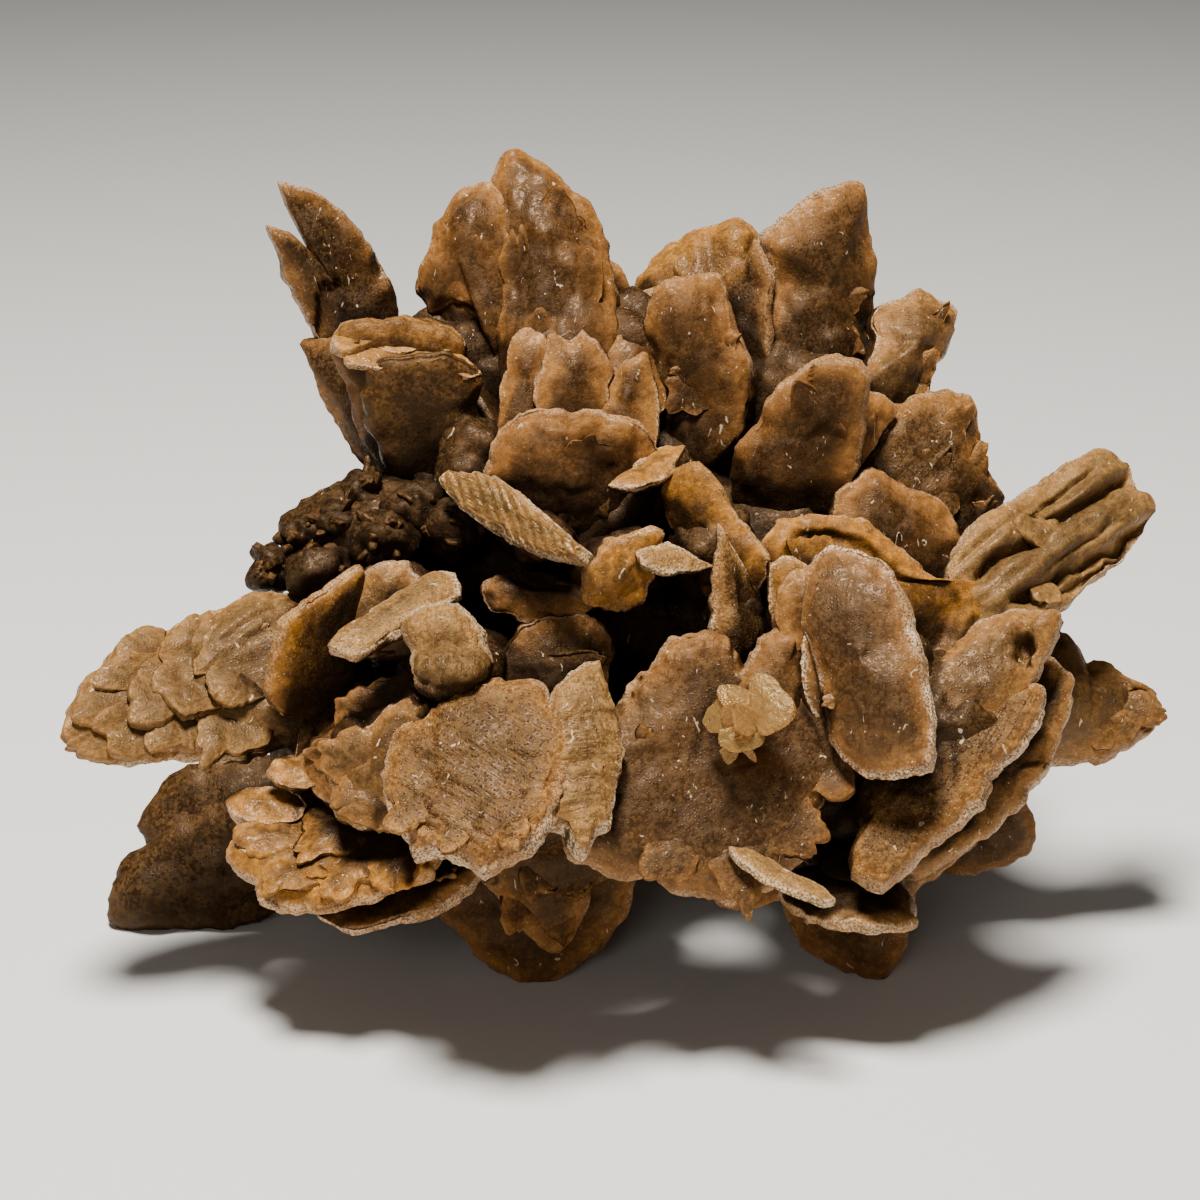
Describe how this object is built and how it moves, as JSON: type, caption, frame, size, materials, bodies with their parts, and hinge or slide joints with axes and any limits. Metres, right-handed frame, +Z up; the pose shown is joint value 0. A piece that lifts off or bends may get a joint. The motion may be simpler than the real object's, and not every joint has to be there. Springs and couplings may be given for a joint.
{
  "type": "gypsum sand rose",
  "caption": "Cluster of flat, lens-shaped gypsum crystals full of sand, grown through each other into one rosette that stands on the rims of its lowest crystals.",
  "frame": {"origin": "centre of the bounding box's bottom, on the surface that the rose stands on", "axes": "+Z up, +X along the rose's longest extent, -Y towards the side that the picture shows"},
  "size_m": [0.1539, 0.1067, 0.1086],
  "materials": {
    "gypsum": "waxy, sand-filled brown gypsum with pale abraded rims"
  },
  "bodies": {
    "root": {"sand_rose": "gypsum"}
  },
  "joints": []
}
